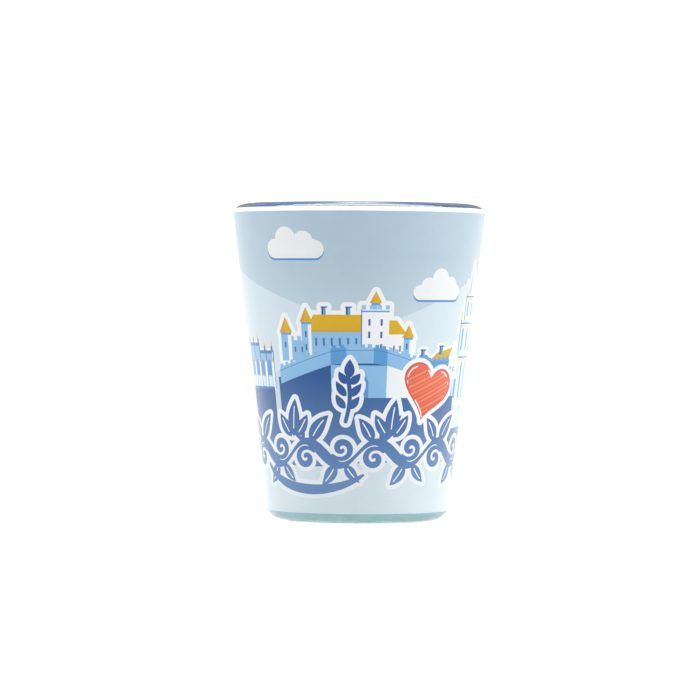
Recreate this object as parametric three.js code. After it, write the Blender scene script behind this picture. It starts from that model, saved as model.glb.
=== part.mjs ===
// A tapered shot glass: one pressed glass body with a heavy base, and the printed coat
// that wraps the outside of its wall. Millimetres, +Z up, and the origin is the centre
// of the foot on the surface the glass stands on.

import * as THREE from 'three';

// Glass body, outside
const height = 60.2; // foot to lip crest
const topDiameter = 47.8; // at the height where the lip starts to round over
const baseDiameter = 34.6; // where the heel meets the straight wall
const lipHeight = 1.8; // rounded clear lip above the straight wall
const lipOuterReach = 3.4; // how far the crest stands in from the outside wall
const heelHeight = 2.6; // rounded edge between the wall and the foot
const heelReach = 3.9;

// Foot and underside
const footWidth = 1.6; // flat ring that touches the table
const underRise = 1.4; // the underside is pushed up into a shallow dome

// Cavity
const lipThickness = 4.4; // wall between the lip's two roundings
const floorHeight = 11.5; // heavy base under the cavity
const floorDiameter = 29.2; // cavity across its lower end, above the rounded corner
const cornerRadius = 5.0; // between cavity floor and wall

// Printed coat
const coatThickness = 0.08;
const coatGap = 0.02; // keeps the two solids apart where they would touch
const coatBottom = 1.9; // height of the coat's lower edge, part way down the heel
const coatTop = 59.2; // height of its upper edge, part way up the lip

const turnSteps = 72; // facets around every turned face

// Radii and heights that follow from the dimensions above
const topRadius = topDiameter / 2;
const baseRadius = baseDiameter / 2;
const footRadius = baseRadius - heelReach;
const underRadius = footRadius - footWidth;
const wallTop = height - lipHeight;
const crestRadius = topRadius - lipOuterReach;
const innerTopRadius = topRadius - lipThickness;
const lipInnerReach = crestRadius - innerTopRadius;
const floorRadius = floorDiameter / 2;

// Points along part of an ellipse in the (radius, height) plane, angles in degrees from
// the outward direction. The first point can be left out where the last outline ended.
function arc([centreR, centreZ], [reachR, reachZ], from, to, steps, skipFirst = false) {
  const turn = THREE.MathUtils.degToRad;
  const curve = new THREE.EllipseCurve(
    centreR, centreZ, reachR, reachZ, turn(from), turn(to), to < from);
  return curve.getPoints(steps).slice(skipFirst ? 1 : 0);
}

// The heel is a quarter ellipse from the foot, at -90 degrees, to the wall, at 0.
function heel(from, to, steps) {
  return arc([footRadius, heelHeight], [heelReach, heelHeight], from, to, steps);
}

// The angle on the heel at which a given height is reached.
function heelAngleAt(z) {
  return THREE.MathUtils.radToDeg(Math.asin((z - heelHeight) / heelHeight));
}

// The lip's outside is a quarter ellipse from the wall, at 0 degrees, to the crest, at 90.
function outerLip(from, to, steps) {
  return arc([crestRadius, wallTop], [lipOuterReach, lipHeight], from, to, steps);
}

// The angle on the outside of the lip at which a given height is reached.
function lipAngleAt(z) {
  return THREE.MathUtils.radToDeg(Math.asin((z - wallTop) / lipHeight));
}

// Turns a closed outline of (radius, height) points about the Z axis.
function turned(name, outline, material) {
  const geometry = new THREE.LatheGeometry(outline, turnSteps);
  geometry.rotateX(Math.PI / 2);
  const mesh = new THREE.Mesh(geometry, material);
  mesh.name = name;
  return mesh;
}

function glassBody() {
  const coatEdge = heelAngleAt(coatBottom);
  const underside = arc([0, 0], [underRadius, underRise], 90, 0, 8);
  const heelBelowCoat = heel(-90, coatEdge, 6);
  const heelUnderCoat = heel(coatEdge, 0, 2).slice(1);
  const lipUnderCoat = outerLip(0, lipAngleAt(coatTop), 3);
  const lipAboveCoat = outerLip(lipAngleAt(coatTop), 90, 6).slice(1);
  const innerLip = arc(
    [crestRadius, height - lipInnerReach], [lipInnerReach, lipInnerReach], 90, 180, 4, true);
  const corner = arc(
    [floorRadius - cornerRadius, floorHeight + cornerRadius],
    [cornerRadius, cornerRadius], 0, -90, 6);
  const floorCentre = new THREE.Vector2(0, floorHeight);
  const outline = [
    ...underside, ...heelBelowCoat, ...heelUnderCoat, ...lipUnderCoat, ...lipAboveCoat,
    ...innerLip, ...corner, floorCentre,
  ];
  const glass = new THREE.MeshStandardMaterial({
    color: 0xd6ebe6, roughness: 0.05, metalness: 0, transparent: true, opacity: 0.35,
  });
  return turned('glass_body', outline, glass);
}

// The coat follows the outside of the glass from part way down the heel to part way up
// the lip, and its outline closes on itself.
function printedCoat() {
  const covered = [
    ...heel(heelAngleAt(coatBottom), 0, 2), ...outerLip(0, lipAngleAt(coatTop), 3),
  ];
  const inside = covered.map((p) => new THREE.Vector2(p.x + coatGap, p.y));
  const outside = inside.map((p) => new THREE.Vector2(p.x + coatThickness, p.y));
  const outline = [...outside, ...inside.reverse(), outside[0].clone()];
  const print = new THREE.MeshStandardMaterial({
    color: 0xbfd0d8, roughness: 0.22, metalness: 0,
  });
  return turned('printed_coat', outline, print);
}

const shotGlass = new THREE.Group();
shotGlass.name = 'shot_glass';
shotGlass.add(glassBody(), printedCoat());

export default shotGlass;
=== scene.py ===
"""A printed shot glass on a pale table.

Clear pressed glass carries a glossy printed coat round its wall. The picture on the coat is
drawn flat, cut into patches of one ink each, and wrapped round the glass. A flat point is
(across, height): across is the way round the glass at MID_RADIUS from the middle of the
front, and height is measured from the table. Lengths are in millimetres until a mesh is
made, angles are in degrees, and colours are sRGB.
"""

import math

import bpy
from mathutils import Matrix, Vector
from mathutils.bvhtree import BVHTree
from mathutils.geometry import convex_hull_2d, delaunay_2d_cdt


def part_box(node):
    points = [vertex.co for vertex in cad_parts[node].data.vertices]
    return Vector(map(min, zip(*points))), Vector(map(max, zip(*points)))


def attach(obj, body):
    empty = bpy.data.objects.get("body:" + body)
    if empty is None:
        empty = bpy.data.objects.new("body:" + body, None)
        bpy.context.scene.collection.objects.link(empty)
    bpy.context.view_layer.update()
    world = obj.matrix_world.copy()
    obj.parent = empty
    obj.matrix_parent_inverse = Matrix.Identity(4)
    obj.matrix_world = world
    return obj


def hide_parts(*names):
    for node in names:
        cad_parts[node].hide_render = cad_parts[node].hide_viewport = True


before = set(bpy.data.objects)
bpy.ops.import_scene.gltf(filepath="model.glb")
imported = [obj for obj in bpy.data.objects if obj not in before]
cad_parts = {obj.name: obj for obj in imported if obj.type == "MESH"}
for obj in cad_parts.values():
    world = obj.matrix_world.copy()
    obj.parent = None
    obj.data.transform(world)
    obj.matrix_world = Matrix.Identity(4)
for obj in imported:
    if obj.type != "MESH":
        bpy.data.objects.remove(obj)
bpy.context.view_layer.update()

MM = 0.001

# ---------------------------------------------------------------------------------------
# Sizes, from the frame where it gives them
# ---------------------------------------------------------------------------------------

glass_high = [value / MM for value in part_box("glass_body")[1]]
coat_low = [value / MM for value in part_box("printed_coat")[0]]
coat_high = [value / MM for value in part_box("printed_coat")[1]]

HEIGHT = glass_high[2]
TOP_RADIUS = glass_high[0]
COAT_BOTTOM = coat_low[2]
COAT_TOP = coat_high[2]
COAT_STANDS_OFF = coat_high[0] - TOP_RADIUS
COAT_IS_SUNK = 0.02  # the bonded coat's inner face, inside the glass's own surface
PRINT_RELIEF = 0.03  # the print's face over the white coat's
PRINT_IS_SUNK = 0.01  # the print's back, inside the white coat

PAINTED_EDGE_SHADE = 0.15  # the thin blue line that ends the print: painted shade and refraction along the coat's lower edge

# The frame gives only each node's box, so the glass's other sizes are given again here.
BASE_RADIUS = 17.3  # where the heel meets the straight wall
HEEL_HEIGHT = 2.6
HEEL_REACH = 3.9
FOOT_WIDTH = 1.6
UNDER_RISE = 1.4
LIP_THICKNESS = 4.4
LIP_REACH = 3.4
LIP_HEIGHT = 1.8
FLOOR_HEIGHT = 11.5
FLOOR_RADIUS = 14.6
CORNER_RADIUS = 5.0
FOOT_EDGE = 0.25  # the rounding inside the foot ring
FOOT_RADIUS = BASE_RADIUS - HEEL_REACH
UNDER_RADIUS = FOOT_RADIUS - FOOT_WIDTH

GLASS_STEPS = 288  # round the glass
COAT_STEPS = 144  # upright folds in the coat, so that it follows the wall
MID_RADIUS = 20.6
HALF_WAY_ROUND = math.pi * MID_RADIUS

# The heel and the lip are parts of ellipses that meet the leaning wall without a crease.
WALL_TOP = HEIGHT - LIP_HEIGHT
LEAN = math.atan2(TOP_RADIUS - BASE_RADIUS, WALL_TOP - HEEL_HEIGHT)
HEEL_END = -math.atan(math.tan(LEAN) * HEEL_HEIGHT / HEEL_REACH)
LIP_START = -math.atan(math.tan(LEAN) * LIP_HEIGHT / LIP_REACH)
LIP_RISE = LIP_HEIGHT / (1 - math.sin(LIP_START))
CREST_RADIUS = TOP_RADIUS - LIP_REACH * math.cos(LIP_START)


def wall_radius(z):
    """The radius of the glass's outside at a height."""
    if z < HEEL_HEIGHT:
        rise = 1 - z / HEEL_HEIGHT
        return FOOT_RADIUS + HEEL_REACH * math.sqrt(1 - rise * rise)
    if z > WALL_TOP:
        rise = 1 - (HEIGHT - z) / LIP_RISE
        return CREST_RADIUS + LIP_REACH * math.sqrt(1 - rise * rise)
    return BASE_RADIUS + math.tan(LEAN) * (z - HEEL_HEIGHT)


def wall_slope(z):
    """How fast the outside widens with height."""
    step = 0.01
    return (wall_radius(z + step) - wall_radius(z - step)) / (2 * step)


# ---------------------------------------------------------------------------------------
# Flat shapes
# ---------------------------------------------------------------------------------------


def arc(centre, reach, start, end, steps):
    """Points along part of an ellipse, from one angle to another."""
    points = []
    for step in range(steps + 1):
        turn = math.radians(start + (end - start) * step / steps)
        points.append((centre[0] + reach[0] * math.cos(turn),
                       centre[1] + reach[1] * math.sin(turn)))
    return points


def block(left, bottom, right, top):
    return [(left, bottom), (right, bottom), (right, top), (left, top)]


def disc(x, z, radius, steps=24):
    return arc((x, z), (radius, radius), 0, 360, steps)[:-1]


def capsule(start, end, start_radius, end_radius, steps=16):
    """The outline round two discs and the space between them."""
    points = disc(*start, start_radius, steps) + disc(*end, end_radius, steps)
    hull = convex_hull_2d([Vector(point) for point in points])
    return [points[index] for index in hull]


def stroke(path, radius_at, closed=False):
    """A brush stroke along a path, as overlapping capsules. radius_at takes 0 to 1."""
    ends = path[1:] + path[:1] if closed else path[1:]
    last = len(ends)
    pieces = []
    for index, (start, end) in enumerate(zip(path, ends)):
        pieces.append(capsule(start, end, radius_at(index / last), radius_at((index + 1) / last)))
    return pieces


def border(points, margin):
    """An even band along the outline of a shape."""
    return stroke(points, lambda along: margin, closed=True)


def spine(base, direction, length, bend, steps=9):
    """Points along a leaf's curling middle, and its heading at each."""
    x, z = base
    found = []
    for step in range(steps + 1):
        heading = math.radians(direction + bend * step / steps)
        found.append(((x, z), heading))
        x += length / steps * math.cos(heading)
        z += length / steps * math.sin(heading)
    return found


def leaf(base, direction, length, width, bend=0.0):
    """A pointed leaf from its base, curling by bend degrees towards its tip."""
    left, right = [], []
    middle = spine(base, direction, length, bend)
    for step, ((x, z), heading) in enumerate(middle):
        along = step / (len(middle) - 1)
        half = width / 2 * abs(math.sin(math.pi * along ** 0.8)) ** 0.9
        left.append((x - half * math.sin(heading), z + half * math.cos(heading)))
        right.append((x + half * math.sin(heading), z - half * math.cos(heading)))
    return right + left[-2:0:-1]


def midrib(base, direction, length, bend=0.0):
    """The line down the middle of a leaf, short of both its ends."""
    return [point for point, heading in spine(base, direction, length, bend)[2:-2]]


def spiral(centre, start, radius, inner_radius, turns, steps=26):
    """A path that winds in to its centre. start is in degrees, and turns may be negative."""
    path = []
    for step in range(steps + 1):
        along = step / steps
        angle = math.radians(start + 360 * turns * along)
        reach = radius + (inner_radius - radius) * along
        path.append((centre[0] + reach * math.cos(angle), centre[1] + reach * math.sin(angle)))
    return path


def heart(width, scale=1.0, steps=56):
    """A heart about its middle."""
    unit = width * scale / 32
    points = []
    for step in range(steps):
        turn = 2 * math.pi * step / steps
        x = 16 * math.sin(turn) ** 3
        z = (13 * math.cos(turn) - 5 * math.cos(2 * turn) - 2 * math.cos(3 * turn)
             - math.cos(4 * turn))
        points.append((x * unit, (z + 2.5) * unit))
    return points[::-1]


def hatching(points, slant, spacing):
    """Slanted lines across a shape, each cut to the part inside it."""
    turn = math.radians(slant)
    along = (math.cos(turn), math.sin(turn))
    across = (-along[1], along[0])
    flat = [(x * along[0] + z * along[1], x * across[0] + z * across[1]) for x, z in points]
    lowest = min(v for u, v in flat)
    highest = max(v for u, v in flat)
    lines = []
    for row in range(1, int((highest - lowest) / spacing)):
        level = lowest + row * spacing
        hits = []
        for (u0, v0), (u1, v1) in zip(flat, flat[1:] + flat[:1]):
            if (v0 > level) != (v1 > level):
                hits.append(u0 + (level - v0) / (v1 - v0) * (u1 - u0))
        hits.sort()
        for first, second in zip(hits[::2], hits[1::2]):
            lines.append([(u * along[0] + level * across[0], u * along[1] + level * across[1])
                          for u in (first, second)])
    return lines


# ---------------------------------------------------------------------------------------
# The picture: shapes in painting order
# ---------------------------------------------------------------------------------------

BORDER = 0.8  # the white edge round each motif

picture = []  # (piece, ink, points), later shapes over earlier ones


def brush(piece, angle, height, tilt=0.0):
    """A function that paints about a place on the glass, in true millimetres there."""
    middle = math.radians(angle) * MID_RADIUS
    widen = MID_RADIUS / wall_radius(height)
    cosine, sine = math.cos(math.radians(tilt)), math.sin(math.radians(tilt))

    def paint(ink, *shapes):
        for points in shapes:
            placed = []
            for x, z in points:
                placed.append((middle + (x * cosine - z * sine) * widen,
                               height + x * sine + z * cosine))
            picture.append((piece, ink, placed))

    return paint


def sticker(paint, parts, margin=BORDER):
    """Paints (ink, shape) parts on one white backing that stands out round them all."""
    for ink, points in parts:
        paint("white", points, *border(points, margin))
    for ink, points in parts:
        paint(ink, points)


def mirrored(points):
    return [(-x, z) for x, z in points]


def anticlockwise(points):
    """The same outline with its inside on its left, which is how the cutter tells it."""
    area = sum(x0 * z1 - x1 * z0 for (x0, z0), (x1, z1) in zip(points, points[1:] + points[:1]))
    return points if area > 0 else points[::-1]


def draw_sky():
    """The sky all the way round, paler fans of light in it, and a thin blue lower edge of painted
    shade.
    """
    whole = block(-HALF_WAY_ROUND, COAT_BOTTOM, HALF_WAY_ROUND, WALL_TOP)
    picture.append(("print_sky", "sky", whole))
    middle, horizon, rise, fall = 2.0, 36.3, 12.7, 14.0
    for side in (-1, 1):
        far = side * HALF_WAY_ROUND
        fan = [(middle, horizon), (far / 2, horizon - fall), (far, horizon),
               (far / 2, horizon + rise)]
        picture.append(("print_sky", "ray", fan))
    # painted shade: a thin blue band along the coat's lower edge, for the shade and refraction seen
    # there through the glass
    edge = block(-HALF_WAY_ROUND, COAT_BOTTOM, HALF_WAY_ROUND, COAT_BOTTOM + PAINTED_EDGE_SHADE)
    picture.append(("print_sky", "wall_blue", edge))


def draw_cloud(angle, height, lobes):
    """A flat-bottomed cloud with rounded lobes (x, z, radius) and a blue edge under it."""
    paint = brush("print_clouds", angle, height)
    left, right = lobes[0], lobes[-1]
    shapes = [block(left[0], 0.0, right[0], left[1] + left[2])]
    shapes += [disc(x, z, radius, 32) for x, z, radius in lobes]
    paint("underline", *[[(x, z - 0.36) for x, z in points] for points in shapes])
    paint("cloud", *shapes)


def windows(left, bottom, columns, rows, pitch, size, lean=0.0):
    """A grid of upright windows. lean lifts each column above the last."""
    found = []
    for column in range(columns):
        for row in range(rows):
            x = left + column * pitch[0]
            z = bottom + row * pitch[1] + column * lean
            found.append(block(x, z, x + size[0], z + size[1]))
    return found


def chimney(x, base, height, width=1.0):
    """A chimney with a dark side and a capping stone."""
    half = width / 2
    top = base + height
    return [
        ("mid_blue", block(x - half, base, x + half, top)),
        ("navy", block(x - half, base, x - half * 0.2, top)),
        ("navy", block(x - half - 0.15, top, x + half + 0.3, top + 0.22)),
    ]


def turret(x, base, width, height, roof):
    """A round tower under a pointed roof, darker on its left."""
    half = width / 2
    top = base + height
    eave = half + 0.3
    return [
        ("wall_blue", block(x - half, base, x + half, top)),
        ("white", block(x + half * 0.35, base, x + half, top)),
        ("mid_blue", block(x - half, top - 0.4, x + half, top)),
        ("mustard", [(x - eave, top), (x + eave, top), (x, top + roof)]),
        ("ochre", [(x - eave, top), (x - eave * 0.3, top), (x, top + roof)]),
    ]


def battlements(left, right, base, teeth):
    """Square teeth along the top of a wall."""
    pitch = (right - left) / (2 * teeth - 1)
    return [block(left + 2 * tooth * pitch, base, left + (2 * tooth + 1) * pitch, base + 0.8)
            for tooth in range(teeth)]


def draw_castle(piece, angle, height):
    """A made-up storybook castle: a roofed hall and a white keep between round towers."""
    paint = brush(piece, angle, height)
    hall_left, hall_right, eaves, ridge = -6.6, 3.6, 4.4, 7.6
    keep_left, keep_right, keep_top = 3.4, 8.4, 8.6
    yard_left, yard_top = -10.4, 2.8
    wing_right, wing_eaves = 11.6, 4.0
    yard = [("wall_blue", block(yard_left, -1, hall_left, yard_top))]
    yard += [("wall_blue", tooth) for tooth in battlements(yard_left, hall_left, yard_top, 3)]
    hall = [
        ("wall_blue", block(hall_left, -1, hall_right, eaves)),
        ("mustard", [(hall_left - 0.4, eaves), (hall_right, eaves), (hall_right, ridge),
                     (hall_left + 1.2, ridge)]),
        ("ochre", block(hall_left - 0.4, eaves, hall_right, eaves + 0.3)),
    ]
    keep = [("white", block(keep_left, -1, keep_right, keep_top)),
            ("mid_blue", block(keep_left, keep_top - 0.5, keep_right, keep_top - 0.2))]
    keep += [("wall_blue", tooth) for tooth in battlements(keep_left, keep_right, keep_top, 4)]
    wing = [
        ("white", block(keep_right, -1, wing_right, wing_eaves)),
        ("mustard", [(keep_right, wing_eaves), (wing_right + 0.3, wing_eaves),
                     (keep_right + 1.4, wing_eaves + 2.6), (keep_right, wing_eaves + 2.6)]),
    ]
    parts = chimney(-3.4, ridge - 0.2, 1.5, 0.8) + chimney(1.0, ridge - 0.2, 1.5, 0.8)
    parts += yard + hall + turret(-6.9, -1, 2.0, 7.2, 2.8) + turret(-11.4, -1, 2.4, 5.2, 3.0)
    parts += turret(5.9, keep_top, 1.6, 1.2, 2.2) + keep + wing + turret(12.2, -1, 1.8, 4.4, 2.4)
    sticker(paint, parts)
    paint("window", *windows(-5.2, 1.8, 6, 1, (1.5, 1), (0.36, 1.5)))
    paint("window", *windows(-5.2, -0.4, 6, 1, (1.5, 1), (0.36, 0.9)))
    paint("window", *windows(4.6, 1.0, 2, 3, (2.2, 2.3), (0.4, 1.2)))
    paint("window", *windows(9.3, 0.8, 2, 1, (1.2, 1), (0.3, 1.1)))
    paint("window", *windows(-9.6, 0.6, 2, 1, (1.5, 1), (0.34, 1.0)))
    for x, z in ((-11.8, 1.4), (-7.2, 3.4), (-7.2, 1.0), (11.8, 1.2)):
        paint("window", block(x, z, x + 0.34, z + 1.1))
    paint("navy", block(keep_left - 0.08, -1, keep_left + 0.08, keep_top))


def along_fold(fold, share, offset=0.0):
    """A point part of the way along a line, raised by offset."""
    (x0, z0), (x1, z1) = fold
    return (x0 + (x1 - x0) * share, z0 + (z1 - z0) * share + offset)


def panel(fold, start, end, low, high):
    """The part of the strip under a line between two shares of it and two offsets."""
    return [along_fold(fold, start, low), along_fold(fold, end, low),
            along_fold(fold, end, high), along_fold(fold, start, high)]


def draw_ramparts(piece, angle, height):
    """The curtain wall and the two blocks below it, in panels of different blues."""
    paint = brush(piece, angle, height)
    depth = 3.0
    corners = [(-16.4, -2.0), (-5.2, 1.7), (-2.3, 2.0), (2.8, 2.0), (5.4, 1.6), (12.6, -0.6),
               (19.8, -0.2)]
    inks = ["wall_blue", "mid_blue", "wall_blue", "mid_blue", "wall_blue", "mid_blue"]
    folds = list(zip(corners, corners[1:]))
    block_left, block_edge, block_right, block_foot = -5.2, 5.4, 12.6, -7.4
    paint("wall_blue", [(block_left, block_foot), (block_edge, block_foot),
                        (block_edge, 1.6 - depth), (block_left, 1.7 - depth)])
    paint("white", [(block_edge, block_foot), (block_right, block_foot),
                    (block_right, -0.6 - depth), (block_edge, 1.6 - depth)])
    for fold, ink in zip(folds, inks):
        count = max(2, round((fold[1][0] - fold[0][0]) / 1.3))
        for step in range(count):
            tooth = panel(fold, (step + 0.2) / count, (step + 0.75) / count, -0.2, 0.55)
            paint("mid_blue" if ink == "mid_blue" else "wall_blue", tooth)
        paint(ink, panel(fold, 0, 1, -depth, 0))
        paint("ink_line", panel(fold, 0, 1, -0.62, -0.5))
    arch = arc((0.4, -4.6), (1.5, 1.5), 0, 180, 12) + [(-1.1, block_foot), (1.9, block_foot)]
    paint("mid_blue", arch)


def draw_hills():
    """Low dark hills all the way round, and the rock under the castle."""
    crest, foot = [], []
    steps = 96
    for step in range(steps + 1):
        turn = 2 * math.pi * (step / steps - 0.5)
        crest.append((turn * MID_RADIUS, 19.4 + 1.8 * math.cos(2 * turn) + 0.7 * math.sin(5 * turn)))
        foot.append((turn * MID_RADIUS, 11.6 + 0.7 * math.sin(3 * turn)))
    picture.append(("print_hills", "navy", foot + crest[::-1]))
    rock = [(-16.6, 11.4), (-16.9, 27.4), (-6, 31.0), (6, 31.0), (12.2, 24.0), (22.4, 24.0),
            (24.0, 12.0)]
    picture.append(("print_hills", "navy", rock))


def draw_cottages(piece, angle, height):
    """A small cluster of mustard roofs."""
    paint = brush(piece, angle, height)
    parts = [
        ("wall_blue", block(-4.4, 0, -1.2, 2.6)),
        ("mid_blue", [(-4.8, 2.6), (-1.0, 2.6), (-2.2, 4.2), (-3.8, 4.2)]),
        ("wall_blue", block(-1.4, 0, 4.2, 2.2)),
        ("mustard", [(-3.0, 1.8), (3.4, 2.4), (4.8, 5.6), (0.2, 4.6)]),
        ("white", [(3.2, 0), (6.6, 0), (6.6, 3.4), (4.9, 6.2), (3.2, 2.6)]),
    ]
    sticker(paint, parts + chimney(1.2, 4.2, 1.5, 0.9) + chimney(-3.2, 4.0, 1.0, 0.8), 0.5)
    paint("window", *windows(4.3, 1.0, 2, 1, (1.1, 1), (0.34, 1.0)))
    paint("window", *windows(-0.6, 0.4, 3, 1, (1.2, 1), (0.3, 0.9)))


def draw_gateway(piece, angle, height):
    """An arcade on a dark terrace: white pillars with gilded tips, under a stepped parapet."""
    paint = brush(piece, angle, height)
    wide, tall, step, bays = 4.4, 7.2, 1.4, 4
    sticker(paint, [("wall_blue", block(-wide, 0, wide, tall)),
                    ("wall_blue", block(-wide, tall, 0.4, tall + step))], 0.4)
    paint("navy", block(-wide, -8.0, wide, 0))
    pitch = 2 * wide / bays
    for bay in range(bays):
        x = -wide + (bay + 0.5) * pitch
        paint("mid_blue", arc((x, tall - 2.6), (0.6, 0.9), 0, 180, 10)
              + [(x - 0.6, 0.5), (x + 0.6, 0.5)])
        paint("stone", block(x - 0.6, 0.5, x + 0.6, 2.4))
        paint("gold", block(x - 0.4, 2.3, x + 0.4, 2.55))
    for pillar in range(bays + 1):
        x = -wide + pillar * pitch
        top = tall + step if x < 0.4 else tall
        paint("ink_line", block(x + 0.2, 0, x + 0.46, top))
        paint("white", block(x - 0.34, 0, x + 0.3, tall - 2.2))
        paint("gold", [(x - 0.3, tall - 2.2), (x + 0.3, tall - 2.2), (x, tall - 1.0)])
        paint("ink_line", [(x - 0.34, top - 0.2), (x + 0.34, top - 0.2), (x, top + 2.4)])
        paint("gold", [(x - 0.2, top + 0.9), (x + 0.2, top + 0.9), (x, top + 2.4)])
    paint("ink_line", block(-wide, tall + step - 0.6, 0.4, tall + step))
    paint("ink_line", block(0.4, tall - 0.6, wide, tall))
    paint("ink_line", block(-wide, 0, wide, 0.4))


def draw_spire(piece, angle, height):
    """A tall spire in stages with slim pinnacles and gilded tips."""
    paint = brush(piece, angle, height)
    stages = [(4.4, 0.0, 9.0), (3.3, 9.0, 15.4), (2.2, 15.4, 20.4)]
    parts = [("stone", block(-half, low, half, high)) for half, low, high in stages]
    parts.append(("stone", [(-1.7, 20.4), (1.7, 20.4), (0, 27.4)]))
    for half, low, high in stages:
        for side in (-1, 1):
            x = side * half
            parts.append(("stone", [(x - 0.45, low), (x + 0.45, low), (x + 0.4, high + 0.6),
                                    (x, high + 2.6), (x - 0.4, high + 0.6)]))
    sticker(paint, parts, 0.4)
    for half, low, high in stages:
        count = max(1, round(half))
        pitch = 2 * half / count
        for bay in range(count):
            x = -half + (bay + 0.5) * pitch
            paint("mid_blue", arc((x, high - 1.8), (0.36, 0.6), 0, 180, 8)
                  + [(x - 0.36, low + 1.0), (x + 0.36, low + 1.0)])
        paint("ink_line", block(-half, high - 0.5, half, high - 0.2))
        paint("gold", block(-half, high - 1.0, half, high - 0.75))
        for side in (-1, 1):
            x = side * half
            paint("ink_line", block(x - 0.14, low, x + 0.14, high + 0.4))
            paint("gold", [(x - 0.34, high + 0.9), (x + 0.34, high + 0.9), (x, high + 2.6)])
    paint("wall_blue", [(-1.5, 20.6), (-0.3, 20.6), (0, 26.6)])
    paint("gold", disc(0, 27.4, 0.45, 16))


def draw_houses(piece, angle, height):
    """A row of tall narrow houses."""
    paint = brush(piece, angle, height)
    row = [(-15.0, 4.0, 9.2, "wall_blue"), (-11.0, 4.4, 11.6, "stone"), (-6.6, 3.8, 8.4, "mid_blue"),
           (-2.8, 4.8, 12.6, "white"), (2.0, 4.0, 9.8, "wall_blue"), (6.0, 4.6, 11.0, "stone"),
           (10.6, 4.4, 8.8, "mid_blue")]
    parts = []
    for number, (left, wide, tall, ink) in enumerate(row):
        right, peak = left + wide, left + wide * 0.45
        parts.append((ink, block(left, 0, right, tall)))
        if number % 2:
            parts.append((ink, [(left, tall), (right, tall), (peak, tall + 2.4)]))
            parts.append(("mustard", [(right, tall), (peak, tall + 2.4), (peak - 0.7, tall + 2.4),
                                      (right - 0.9, tall)]))
        else:
            parts.append(("mustard", [(left - 0.2, tall), (right + 0.2, tall),
                                      (right - 0.6, tall + 1.7), (left + 0.7, tall + 1.7)]))
            parts += chimney(left + 1.0, tall + 1.0, 1.7, 0.8)
    sticker(paint, parts, 0.6)
    for left, wide, tall, ink in row:
        glass = "window" if ink != "mid_blue" else "white"
        floors = int((tall - 2.6) / 2.1)
        paint(glass, *windows(left + 0.75, 2.8, 3, floors, ((wide - 1.8) / 2, 2.1), (0.42, 1.1)))
        door = left + wide * 0.4
        paint("navy", arc((door, 1.3), (0.5, 0.5), 0, 180, 8) + [(door - 0.5, 0), (door + 0.5, 0)])


def draw_bridge(piece, angle, height):
    """An arched bridge across a valley."""
    paint = brush(piece, angle, height)
    wide, deck = 13.0, 6.4
    paint("white", block(-wide, 0, wide, deck + 1.4))
    paint("wall_blue", block(-wide, 0, wide, deck))
    paint("mid_blue", block(-wide, deck, wide, deck + 0.8))
    arches = 5
    pitch = 2 * wide / arches
    for number in range(arches):
        x = -wide + (number + 0.5) * pitch
        reach = pitch / 2 - 0.7
        opening = arc((x, 2.6), (reach, reach * 1.25), 0, 180, 16) + [(x - reach, 0), (x + reach, 0)]
        paint("mid_blue", [(px - 0.25, pz) for px, pz in opening])
        paint("ray", opening)


def draw_sprig(piece, angle, height):
    """An upright sprig of leaves with a white edge."""
    paint = brush(piece, angle, height, tilt=-5)
    stem = [(0.45 * math.sin(k / 2.6), -5.6 + 0.9 * k) for k in range(11)]
    leaves = [leaf((0.0, 2.4), 92, 3.6, 1.9)]
    for z, length in ((-3.2, 3.2), (-0.9, 3.4), (1.4, 2.8)):
        side = leaf((0.2, z), 40, length, 1.5, bend=24)
        leaves += [side, mirrored(side)]
    paint("white", *stroke(stem, lambda along: 0.4 + BORDER))
    sticker(paint, [("script_navy", points) for points in leaves])
    paint("script_navy", *stroke(stem, lambda along: 0.4))


def draw_heart(piece, angle, height):
    """A red heart with a crayon hatch, a darker edge and white glints."""
    paint = brush(piece, angle, height, tilt=-13)
    width, steps = 11.7, 100
    outline = heart(width)
    paint("white", outline, *border(outline, BORDER))
    paint("heart_edge", outline)
    paint("heart_red", heart(width, 0.94))
    for number, line in enumerate(hatching(heart(width, 0.84), 36, 0.7)):
        thickness = 0.13 + 0.09 * math.sin(number * 2.3)
        paint("heart_orange", *stroke(line, lambda along: thickness))
    rim = heart(width, 0.88, steps)
    for first, last in ((5, 9), (17, 24), (26, 27), (35, 46), (76, 77), (80, 85)):
        paint("white", *stroke(rim[first:last + 1], lambda along: 0.12))


def tapered(thin, thick):
    """The radius of a stroke that starts and ends thin."""
    return lambda along: thin + (thick - thin) * math.sin(math.pi * along) ** 0.8


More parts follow.
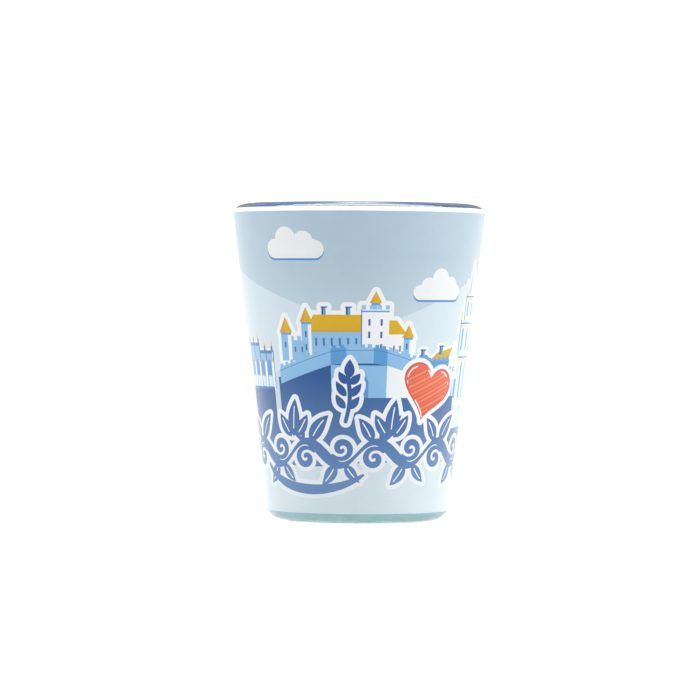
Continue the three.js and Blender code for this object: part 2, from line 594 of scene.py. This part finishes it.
def draw_garland(piece, angle, height):
    """A leafy scroll of brush strokes with curled tendrils, over a long sweep of the brush."""
    paint = brush(piece, angle, height)
    wave, swing, waves = 13.2, 2.2, 4

    def stem_at(x):
        return (x, swing * math.sin(2 * math.pi * x / wave))

    reach = wave * waves / 2
    steps = 24 * waves
    stem = [stem_at(-reach + 2 * reach * k / steps) for k in range(steps + 1)]
    strokes = [(stem, lambda along: 0.66 - 0.36 * math.cos(2 * math.pi * waves * along))]
    leaves = []
    for number in range(waves):
        crest = -reach + wave * (number + 0.25)
        trough = crest + wave / 2
        strokes.append((spiral((trough + 0.3, 0.9), 215, 2.1, 0.3, 1.3), tapered(0.25, 0.6)))
        strokes.append((spiral((crest - 0.3, -0.9), 35, 2.1, 0.3, 1.3), tapered(0.25, 0.6)))
        leaves += [(stem_at(crest + 0.9), 66, 6.4, 2.6, -26),
                   (stem_at(crest - 0.7), 108, 5.2, 2.3, 24),
                   (stem_at(trough - 0.9), -114, 4.9, 2.3, -26),
                   (stem_at(trough + 0.9), -62, 4.4, 2.0, 24)]
    for x in (-12.6, 6.0):
        leaves += [((x - 0.5, 3.0), 124, 5.0, 2.2, -10), ((x + 0.5, 3.0), 52, 5.0, 2.2, 12),
                   ((x, 3.0), 88, 7.2, 2.6, -10)]
    strokes.append((arc((-9.0, 1.0), (13.0, 7.8), 205, 320, 30), tapered(0.25, 0.95)))
    for path, radius in strokes:
        paint("white", *stroke(path, lambda along: radius(along) + BORDER))
    for shape in leaves:
        paint("white", leaf(*shape), *border(leaf(*shape), BORDER))
    for base, direction, length, width, bend in leaves:
        paint("script_navy", leaf(base, direction, length, width, bend))
        paint("white", *stroke(midrib(base, direction, length, bend), lambda along: 0.11))
    for path, radius in strokes:
        paint("script_navy", *stroke(path, radius))


def draw_picture():
    """The whole picture, back to front. What crosses the seam is drawn on both sides of it."""
    left_cloud = [(-4.5, 1.8, 1.8), (-1.9, 3.6, 2.3), (1.9, 3.0, 2.1), (4.3, 1.7, 1.7)]
    right_cloud = [(-4.3, 1.4, 1.4), (-2.5, 2.6, 1.6), (0.3, 3.9, 2.0), (3.0, 2.6, 1.8),
                   (4.4, 1.5, 1.5)]
    small_cloud = [(-2.8, 1.2, 1.2), (-0.6, 2.2, 1.6), (2.6, 1.1, 1.1)]
    draw_sky()
    draw_cloud(-31.5, 49.6, left_cloud)
    draw_cloud(42, 42.0, right_cloud)
    draw_cloud(112, 50.2, left_cloud)
    draw_cloud(152, 44.6, small_cloud)
    draw_cloud(-152, 50.4, right_cloud)
    draw_cloud(-112, 43.4, small_cloud)
    draw_bridge("print_bridge", 112, 20.6)
    draw_gateway("print_gateway", -63.5, 25.2)
    draw_spire("print_spire", 73, 22.6)
    draw_spire("print_spire", -104, 20.0)
    for seam in (-180, 180):
        draw_houses("print_houses", seam, 20.0)
    draw_castle("print_castle", -8, 31.6)
    draw_hills()
    draw_cottages("print_cottages", 44, 27.6)
    draw_ramparts("print_ramparts", 0, 31.2)
    draw_garland("print_garland", 0, 13.4)
    draw_sprig("print_sprig", -5.5, 25.0)
    draw_heart("print_heart", 40, 24.6)
    for seam in (-180, 180):
        draw_garland("print_garland_back", seam, 13.4)
        draw_heart("print_heart_back", seam, 27.0)


# ---------------------------------------------------------------------------------------
# Cutting the picture into patches of one ink
# ---------------------------------------------------------------------------------------


def cut_picture():
    """Cuts the picture where its shapes overlap. Returns points, faces and their owners."""
    points, faces = [], []
    for piece, ink, shape in picture:
        faces.append(list(range(len(points), len(points) + len(shape))))
        points += [Vector(point) for point in anticlockwise(shape)]
    cut_points, _, cut_faces, _, _, sources = delaunay_2d_cdt(points, [], faces, 1, 1e-4)
    kept, owners = [], []
    for corners, source in zip(cut_faces, sources):
        if 0 in source:  # shape 0 is the sky, so this is what lies on the glass
            kept.append(corners)
            owners.append(picture[max(source)][:2])
    return cut_points, kept, owners


def heel_heights(bends=4):
    """Where the coat folds to follow the rounded heel."""
    return [COAT_BOTTOM + (HEEL_HEIGHT - COAT_BOTTOM) * step / bends for step in range(bends + 1)]


def edges_between(faces, owners):
    """Edges where the owner changes, and the picture's own edge."""
    seen = {}
    for corners, owner in zip(faces, owners):
        for a, b in zip(corners, corners[1:] + corners[:1]):
            seen.setdefault((min(a, b), max(a, b)), []).append(owner)
    return [edge for edge, found in seen.items() if len(found) == 1 or found[0] != found[1]]


def folded_picture():
    """The picture again, in as few triangles as its patches and the round wall need."""
    flat_points, faces, owners = cut_picture()
    lookup = BVHTree.FromPolygons([(p.x, p.y, 0.0) for p in flat_points], faces)
    edges = edges_between(faces, owners)
    used = sorted({index for edge in edges for index in edge})
    place = {index: number for number, index in enumerate(used)}
    points = [flat_points[index] for index in used]
    lines = [(place[a], place[b]) for a, b in edges]

    def rule(start, end):
        lines.append((len(points), len(points) + 1))
        points.extend([Vector(start), Vector(end)])

    for step in range(1, COAT_STEPS):
        across = HALF_WAY_ROUND * (2 * step / COAT_STEPS - 1)
        rule((across, COAT_BOTTOM), (across, WALL_TOP))
    for z in heel_heights()[1:]:
        rule((-HALF_WAY_ROUND, z), (HALF_WAY_ROUND, z))
    new_points, _, new_faces, _, _, _ = delaunay_2d_cdt(points, lines, [], 0, 1e-3)
    new_owners = []
    for corners in new_faces:
        middle = sum((new_points[corner] for corner in corners), Vector((0, 0))) / 3
        nearest = lookup.find_nearest((middle.x, middle.y, 0.0))[2]
        new_owners.append(owners[nearest])
    return new_points, new_faces, new_owners


# ---------------------------------------------------------------------------------------
# Materials
# ---------------------------------------------------------------------------------------


def linear(colour):
    """An sRGB colour of 0 to 255 as linear light, with full alpha."""
    values = []
    for value in colour:
        share = value / 255
        values.append(share / 12.92 if share <= 0.04045 else ((share + 0.055) / 1.055) ** 2.4)
    return (*values, 1.0)


class Nodes:
    """A node tree, built one node at a time."""

    def __init__(self, owner):
        owner.use_nodes = True
        self.tree = owner.node_tree
        self.tree.nodes.clear()

    def add(self, kind, inputs=None, **settings):
        """Adds a node. An input is a number, a colour, a socket or a node."""
        node = self.tree.nodes.new("ShaderNode" + kind)
        for name, value in settings.items():
            setattr(node, name, value)
        for name, value in (inputs or {}).items():
            self.give(node.inputs[name], value)
        return node

    def give(self, socket, value):
        if isinstance(value, bpy.types.Node):
            value = value.outputs[0]
        if isinstance(value, bpy.types.NodeSocket):
            self.tree.links.new(value, socket)
        else:
            socket.default_value = value

    def mix(self, share, first, second):
        """Mixes two colours."""
        node = self.add("Mix", data_type="RGBA")
        sockets = [socket for socket in node.inputs if socket.enabled]
        for socket, value in zip(sockets, (share, first, second)):
            self.give(socket, value)
        return next(socket for socket in node.outputs if socket.enabled)

    def remap(self, value, low, high, new_low, new_high, **settings):
        return self.add("MapRange", {
            "Value": value, "From Min": low, "From Max": high,
            "To Min": new_low, "To Max": new_high}, **settings)


GLASS_TINT = (0.52, 0.95, 0.92, 1.0)
GLASS_DENSITY = 17.0  # per metre

INKS = {  # ink: (colour at the lower height, lower height), (colour at the upper, upper)
    "sky": (((203, 218, 225), 3), ((164, 186, 199), 50)),
    "ray": (((202, 217, 225), 3), ((190, 206, 216), 50)),
    "cloud": (((214, 219, 221), 40), ((218, 223, 225), 56)),
    "coat": (((240, 242, 243), 2), ((244, 246, 247), 60)),
    # lining: the coat's back, blue high up. Its pure white low down is partly painted light, for
    # light that comes through the thin coat into the base
    "lining": (((255, 255, 255), 14), ((124, 160, 212), 46)),
    "white": (((218, 225, 229), 8), ((224, 228, 231), 40)),
    "underline": (((62, 122, 182), 40), ((66, 126, 186), 56)),
    "wall_blue": (((126, 174, 214), 24), ((134, 180, 217), 42)),
    "mid_blue": (((76, 140, 194), 24), ((88, 152, 204), 42)),
    "mustard": (((196, 156, 10), 26), ((204, 164, 16), 42)),
    "ochre": (((192, 140, 34), 26), ((202, 150, 40), 42)),
    "navy": (((90, 126, 170), 12), ((26, 78, 138), 28)),
    "window": (((70, 104, 160), 28), ((58, 94, 150), 42)),
    "ink_line": (((64, 118, 178), 28), ((56, 108, 170), 42)),
    "script_navy": (((94, 131, 176), 8), ((30, 80, 142), 26)),
    "stone": (((196, 214, 230), 22), ((206, 220, 234), 46)),
    "gold": (((228, 178, 60), 26), ((236, 190, 72), 46)),
    "heart_red": (((202, 86, 66), 19), ((210, 94, 74), 30)),
    "heart_edge": (((190, 74, 60), 19), ((196, 78, 64), 30)),
    "heart_orange": (((216, 118, 74), 19), ((222, 127, 82), 30)),
}


GRAIN_SCALE = 6500.0  # noise scales, in waves per metre
MOTTLE_SCALE = 250.0
PEEL_SCALE = 900.0
WAVE_SCALE = 60.0
PEEL_DEPTH = 0.02
WAVE_DEPTH = 0.08


def ink_material(name):
    """Glossy print: a tone that changes slowly with height, fine grain and soft mottling."""
    material = bpy.data.materials.new("ink_" + name)
    nodes = Nodes(material)
    (low_colour, low_height), (high_colour, high_height) = INKS[name]
    place = nodes.add("TexCoord").outputs["Object"]
    height = nodes.add("SeparateXYZ", {"Vector": place}).outputs["Z"]
    rise = nodes.remap(height, low_height * MM, high_height * MM, 0.0, 1.0)
    tone = nodes.mix(rise, linear(low_colour), linear(high_colour))
    grain = nodes.add("TexNoise", {"Vector": place, "Scale": GRAIN_SCALE, "Detail": 1.0})
    mottle = nodes.add("TexNoise", {"Vector": place, "Scale": MOTTLE_SCALE, "Detail": 3.0})
    fine = nodes.remap(grain, 0.3, 0.7, 0.97, 1.03)
    soft = nodes.remap(mottle, 0.3, 0.7, 0.985, 1.015)
    strength = nodes.add("Math", {0: fine, 1: soft}, operation="MULTIPLY")
    colour = nodes.add("VectorMath", {0: tone, "Scale": strength}, operation="SCALE")
    peel = nodes.add("TexNoise", {"Vector": place, "Scale": PEEL_SCALE, "Detail": 1.0})
    bump = nodes.add("Bump", {"Height": peel, "Strength": 0.12, "Distance": PEEL_DEPTH * MM})
    surface = nodes.add("BsdfPrincipled", {
        "Base Color": colour,
        "Roughness": nodes.remap(mottle, 0.0, 1.0, 0.28, 0.34),
        "IOR": 1.5,
        "Specular IOR Level": 0.2,
        "Sheen Weight": 0.4,
        "Sheen Roughness": 0.5,
        "Normal": bump,
    })
    nodes.add("OutputMaterial", {"Surface": surface})
    return material


def glass_material():
    """Clear pressed glass, faintly green in its thickness and slightly wavy."""
    material = bpy.data.materials.new("pressed_glass")
    nodes = Nodes(material)
    place = nodes.add("TexCoord").outputs["Object"]
    wave = nodes.add("TexNoise", {"Vector": place, "Scale": WAVE_SCALE, "Detail": 2.0})
    bump = nodes.add("Bump", {"Height": wave, "Strength": 0.25, "Distance": WAVE_DEPTH * MM})
    surface = nodes.add("BsdfPrincipled", {
        "Base Color": (1.0, 1.0, 1.0, 1.0),
        "Roughness": 0.0,
        "IOR": 1.5,
        "Transmission Weight": 1.0,
        "Normal": bump,
    })
    depth = nodes.add("VolumeAbsorption", {"Color": GLASS_TINT, "Density": GLASS_DENSITY})
    nodes.add("OutputMaterial", {"Surface": surface, "Volume": depth})
    return material


# ---------------------------------------------------------------------------------------
# The pieces
# ---------------------------------------------------------------------------------------


def rounded(centre, reach, start, end, steps, hollow=False):
    """Part of a section that follows an ellipse: points and the ways they face."""
    points = arc(centre, reach, start, end, steps)
    ways = arc((0, 0), (1 / reach[0], 1 / reach[1]), start, end, steps)
    sign = -1 if hollow else 1
    return [(point, Vector((sign * r, sign * z)).normalized())
            for point, (r, z) in zip(points, ways)]


def glass_section():
    """Half the glass's section, from the middle of its underside to the cavity floor."""
    inner_top = TOP_RADIUS - LIP_THICKNESS
    rim = CREST_RADIUS - inner_top
    corner = FLOOR_RADIUS - CORNER_RADIUS
    inner_lean = math.degrees(math.atan2(inner_top - FLOOR_RADIUS,
                                         HEIGHT - rim - FLOOR_HEIGHT - CORNER_RADIUS))
    section = [((0.0, UNDER_RISE), Vector((0, -1)))]
    section += rounded((0, FOOT_EDGE), (UNDER_RADIUS, UNDER_RISE - FOOT_EDGE), 89, 0, 16,
                       hollow=True)
    section += rounded((UNDER_RADIUS + FOOT_EDGE, FOOT_EDGE), (FOOT_EDGE, FOOT_EDGE), 180, 270,
                       6)[1:]
    section += rounded((FOOT_RADIUS, HEEL_HEIGHT), (HEEL_REACH, HEEL_HEIGHT), -90,
                       math.degrees(HEEL_END), 18)
    section += rounded((CREST_RADIUS, HEIGHT - LIP_RISE), (LIP_REACH, LIP_RISE),
                       math.degrees(LIP_START), 90, 24)
    section += rounded((CREST_RADIUS, HEIGHT - rim), (rim, rim), 90, 180 - inner_lean, 14)[1:]
    section += rounded((corner, FLOOR_HEIGHT + CORNER_RADIUS), (CORNER_RADIUS, CORNER_RADIUS),
                       -inner_lean, -90, 16, hollow=True)
    section.append(((0.0, FLOOR_HEIGHT), Vector((0, 1))))
    return section


def make_piece(name, vertices, faces, loop_normals, materials, face_inks):
    """A mesh object with its own shading normals, in metres, riding on the glass."""
    mesh = bpy.data.meshes.new(name)
    mesh.from_pydata([[value * MM for value in vertex] for vertex in vertices], [], faces)
    for material in materials:
        mesh.materials.append(material)
    mesh.polygons.foreach_set("material_index", face_inks)
    mesh.polygons.foreach_set("use_smooth", [True] * len(faces))
    mesh.normals_split_custom_set(loop_normals)
    piece = bpy.data.objects.new(name, mesh)
    bpy.context.collection.objects.link(piece)
    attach(piece, "root")
    return piece


def turned(name, section, material):
    """A closed solid turned from its section. A section that leaves the axis is a loop."""
    vertices, normals, faces, rings = [], [], [], []
    for (r, z), facing in section:
        steps = 1 if r == 0 else GLASS_STEPS
        rings.append([len(vertices) + step % steps for step in range(GLASS_STEPS + 1)])
        for step in range(steps):
            turn = 2 * math.pi * step / GLASS_STEPS
            vertices.append((r * math.cos(turn), r * math.sin(turn), z))
            normals.append((facing[0] * math.cos(turn), facing[0] * math.sin(turn), facing[1]))
    if section[0][0][0] > 0:
        rings.append(rings[0])
    for low, high in zip(rings, rings[1:]):
        for step in range(GLASS_STEPS):
            corners = (low[step], low[step + 1], high[step + 1], high[step])
            faces.append(tuple(dict.fromkeys(corners)))
    loop_normals = [normals[corner] for face in faces for corner in face]
    return make_piece(name, vertices, faces, loop_normals, [material], [0] * len(faces))


def on_glass(point, offset):
    """Where a flat picture point lies, and the way the wall faces there."""
    turn = point[0] / MID_RADIUS
    radius = wall_radius(point[1]) + offset
    place = Vector((radius * math.sin(turn), -radius * math.cos(turn), point[1]))
    facing = Vector((math.sin(turn), -math.cos(turn), -wall_slope(point[1]))).normalized()
    return place, facing


def make_white_coat(face_ink, back_ink):
    """The coat that the print lies on. Its back is what shows through the glass, and its pure white
    low down is partly painted light.
    """
    def skin(offset, side):
        section = []
        lip = [WALL_TOP + (COAT_TOP - WALL_TOP) * step / 4 for step in range(5)]
        for z in heel_heights() + lip:
            facing = Vector((1, -wall_slope(z))).normalized()
            section.append(((wall_radius(z) + offset, z), facing * side))
        return section

    coat = turned("white_coat",
                  skin(COAT_STANDS_OFF - PRINT_RELIEF, 1) + skin(-COAT_IS_SUNK, -1)[::-1],
                  face_ink)
    coat.data.materials.append(back_ink)
    for face in coat.data.polygons:
        inwards = face.normal.dot(Vector((face.center.x, face.center.y, 0))) < 0
        face.material_index = int(inwards)
    return coat


def make_print(name, points, faces, inks, materials):
    """One motif as a thin closed slab round the glass."""
    vertices, normals = [], []
    place = {}
    for corners in faces:
        for corner in corners:
            if corner not in place:
                place[corner] = len(vertices)
                outer, facing = on_glass(points[corner], COAT_STANDS_OFF)
                inner, _ = on_glass(points[corner],
                                    COAT_STANDS_OFF - PRINT_RELIEF - PRINT_IS_SUNK)
                vertices += [outer, inner]
                normals += [facing, -facing]
    used = sorted(set(inks))
    slabs, slab_inks, loop_normals = [], [], []
    directed = {}
    for corners, ink in zip(faces, inks):
        a, b, c = [place[corner] for corner in corners]
        for face in ((a, b, c), (c + 1, b + 1, a + 1)):
            slabs.append(face)
            slab_inks.append(used.index(ink))
            loop_normals += [normals[corner] for corner in face]
        for start, end in ((a, b), (b, c), (c, a)):
            directed[start, end] = used.index(ink)
    for (start, end), ink in directed.items():
        if (end, start) not in directed:
            wall = (start, start + 1, end + 1, end)
            along = vertices[end] - vertices[start]
            facing = along.cross(normals[start]).normalized()
            slabs.append(wall)
            slab_inks.append(ink)
            loop_normals += [facing] * 4
    return make_piece(name, vertices, slabs, loop_normals, [materials[ink] for ink in used],
                      slab_inks)


def make_coat():
    """The white coat, and every motif of the picture as its own piece of print."""
    draw_picture()
    points, faces, owners = folded_picture()
    materials = {ink: ink_material(ink) for ink in INKS}
    names = sorted({piece for piece, ink in owners})
    pieces = [make_white_coat(materials["coat"], materials["lining"])]
    for name in names:
        chosen = [(corners, ink) for corners, (piece, ink) in zip(faces, owners) if piece == name]
        pieces.append(make_print(name, points, [corners for corners, ink in chosen],
                                 [ink for corners, ink in chosen], materials))
    return pieces


# ---------------------------------------------------------------------------------------
# Studio
# ---------------------------------------------------------------------------------------

NEUTRAL_WHITE = (1.0, 1.0, 1.0)
WARM_WHITE = (1.0, 0.93, 0.88)
TABLE_GLOW = 0.85
TABLE_REACH = 6.0  # metres from the glass to each edge of the table
BACKDROP_GLOW = 1.25  # the surroundings as the camera sees them
CAMERA_DISTANCE = 720.0
EYE_HEIGHT = 43.3
CAMERA_PITCH = -0.87
CAMERA_YAW = 0.13
CAMERA_ROLL = 0.33
LENS = 194.4


def make_camera():
    """A long lens, a little below the rim and almost level."""
    camera = bpy.data.objects.new("camera", bpy.data.cameras.new("camera"))
    bpy.context.collection.objects.link(camera)
    camera.data.lens = LENS
    camera.data.clip_start = 0.05
    turn = (Matrix.Rotation(math.radians(CAMERA_YAW), 4, "Z")
            @ Matrix.Rotation(math.radians(90 + CAMERA_PITCH), 4, "X")
            @ Matrix.Rotation(math.radians(CAMERA_ROLL), 4, "Z"))
    camera.matrix_world = Matrix.Translation((0, -CAMERA_DISTANCE * MM, EYE_HEIGHT * MM)) @ turn
    bpy.context.scene.camera = camera


def make_floor():
    """A wide white light table, as photographers use."""
    mesh = bpy.data.meshes.new("table")
    corners = block(-TABLE_REACH, -TABLE_REACH, TABLE_REACH, TABLE_REACH)
    mesh.from_pydata([(x, y, 0) for x, y in corners], [], [(0, 1, 2, 3)])
    material = bpy.data.materials.new("table_white")
    nodes = Nodes(material)
    surface = nodes.add("BsdfPrincipled", {
        "Base Color": (0.3, 0.3, 0.3, 1.0),
        "Roughness": 0.7,
        "Emission Color": (1.0, 1.0, 1.0, 1.0),
        "Emission Strength": TABLE_GLOW,
    })
    nodes.add("OutputMaterial", {"Surface": surface})
    mesh.materials.append(material)
    table = bpy.data.objects.new("table", mesh)
    bpy.context.collection.objects.link(table)


def softbox(name, azimuth, elevation, distance, size, power, colour=NEUTRAL_WHITE):
    """An area light facing the glass, in metres and watts. Azimuth 0 is the front, 90 the right."""
    light = bpy.data.lights.new(name, "AREA")
    light.shape = "RECTANGLE"
    light.size, light.size_y = size
    light.energy = power
    light.color = colour
    lamp = bpy.data.objects.new(name, light)
    turn, rise = math.radians(azimuth), math.radians(elevation)
    lamp.location = (distance * math.sin(turn) * math.cos(rise),
                     -distance * math.cos(turn) * math.cos(rise),
                     distance * math.sin(rise) + HEIGHT / 2 * MM)
    aim = Vector((0, 0, HEIGHT / 2 * MM)) - lamp.location
    lamp.rotation_euler = aim.to_track_quat("-Z", "Y").to_euler()
    lamp.visible_camera = False
    bpy.context.collection.objects.link(lamp)


def make_world():
    """White surroundings, dimmer in front of the glass than behind it."""
    world = bpy.data.worlds.new("studio")
    bpy.context.scene.world = world
    nodes = Nodes(world)
    way = nodes.add("TexCoord").outputs["Generated"]
    depth = nodes.add("SeparateXYZ", {"Vector": way}).outputs["Y"]
    height = nodes.add("SeparateXYZ", {"Vector": way}).outputs["Z"]
    level = nodes.add("Math", {
        0: nodes.remap(depth, -1.0, 1.0, 0.1, 0.4),
        1: nodes.remap(height, 0.2, 0.8, 0.0, 0.3)}, operation="ADD")
    seen = nodes.add("LightPath").outputs["Is Camera Ray"]
    strength = nodes.add("Mix", data_type="FLOAT")
    sockets = [socket for socket in strength.inputs if socket.enabled]
    for socket, value in zip(sockets, (seen, level, BACKDROP_GLOW)):
        nodes.give(socket, value)
    background = nodes.add("Background", {"Color": (1.0, 1.0, 1.0, 1.0), "Strength": strength})
    nodes.add("OutputWorld", {"Surface": background})


def make_studio():
    """The pale table, the white surroundings, three softboxes and the camera."""
    bpy.context.scene.view_settings.view_transform = "Standard"
    make_world()
    make_floor()
    softbox("overhead", azimuth=180, elevation=83, distance=1.0, size=(1.1, 1.1), power=24)
    softbox("left_box", azimuth=-84, elevation=8, distance=0.8, size=(0.5, 0.8), power=1.7,
            colour=WARM_WHITE)
    softbox("right_box", azimuth=80, elevation=8, distance=0.8, size=(0.5, 0.8), power=3.9,
            colour=WARM_WHITE)
    make_camera()


glass = turned("glass", glass_section(), glass_material())
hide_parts("glass_body")
for piece in make_coat():
    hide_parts("printed_coat")
make_studio()

bpy.context.view_layer.update()
